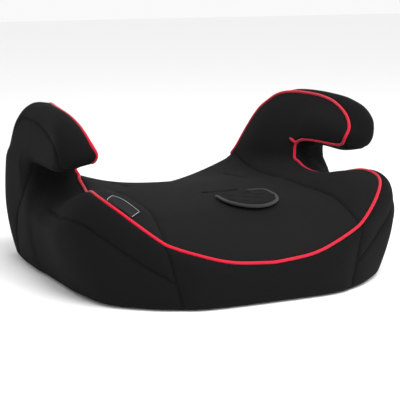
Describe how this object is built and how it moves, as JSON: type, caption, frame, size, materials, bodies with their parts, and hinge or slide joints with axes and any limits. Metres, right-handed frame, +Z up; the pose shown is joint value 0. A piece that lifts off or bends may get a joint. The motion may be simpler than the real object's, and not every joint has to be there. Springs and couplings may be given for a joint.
{
  "type": "booster seat",
  "caption": "Backless booster seat: padded black cover over a ribbed moulded base, two hooked arms with belt slots, red piping, a sewn flap and a side label.",
  "frame": {"origin": "on the floor under the middle of the seat's footprint", "axes": "+X to the sitter's left hand arm seen from the front right, -Y to the front, +Z up; the seat is mirrored about X = 0"},
  "size_m": [0.424, 0.3787, 0.2069],
  "materials": {
    "shell_plastic": "moulded",
    "frame_plastic": "moulded",
    "screw_steel": "zinc plated",
    "foam": "open cell foam",
    "cover_knit": "fine knit",
    "side_knit": "fine knit",
    "piping_red": "satin",
    "slit_binding": "woven tape",
    "elastic": "matt",
    "flap_knit": "fine knit",
    "flap_rim": "woven tape",
    "label_woven": "woven"
  },
  "bodies": {
    "seat": {"base_shell": "shell_plastic", "arm_frame_left": "frame_plastic", "arm_frame_right": "frame_plastic", "arm_screws_left": "screw_steel", "arm_screws_right": "screw_steel", "seat_foam": "foam", "front_foam": "foam", "side_foam_left": "foam", "side_foam_right": "foam", "arm_foam_left": "foam", "arm_foam_right": "foam", "cover_seat_panel": "cover_knit", "cover_arm_inner_left": "cover_knit", "cover_arm_inner_right": "cover_knit", "cover_slot_lining_left": "side_knit", "cover_slot_lining_right": "side_knit", "cover_arm_band_left": "side_knit", "cover_arm_band_right": "side_knit", "cover_arm_outer_left": "side_knit", "cover_arm_outer_right": "side_knit", "cover_side_lower_left": "side_knit", "cover_side_lower_right": "side_knit", "cover_side_upper_left": "side_knit", "cover_side_upper_right": "side_knit", "cover_front_skirt": "side_knit", "cover_rear_panel": "side_knit", "cover_hem": "side_knit", "piping_arm_left": "piping_red", "piping_arm_right": "piping_red", "piping_front": "piping_red", "piping_tab_left": "piping_red", "piping_tab_right": "piping_red", "slit_centre": "slit_binding", "slit_left": "slit_binding", "slit_right": "slit_binding", "hem_elastic": "elastic"},
    "flap": {"flap_pad": "flap_knit", "flap_binding": "flap_rim"},
    "label": {"side_label": "label_woven"}
  },
  "joints": [
    {"name": "flap_lift", "type": "hinge", "parent": "seat", "child": "flap", "pos_m": [0.01, -0.064, 0.103], "axis": [-1, 0, 0], "range_deg": [0, 90]},
    {"name": "label_lift", "type": "hinge", "parent": "seat", "child": "label", "pos_m": [-0.17087, -0.12526, 0.12235], "axis": [0.581, -0.6322, -0.5126], "range_deg": [0, 110]}
  ]
}
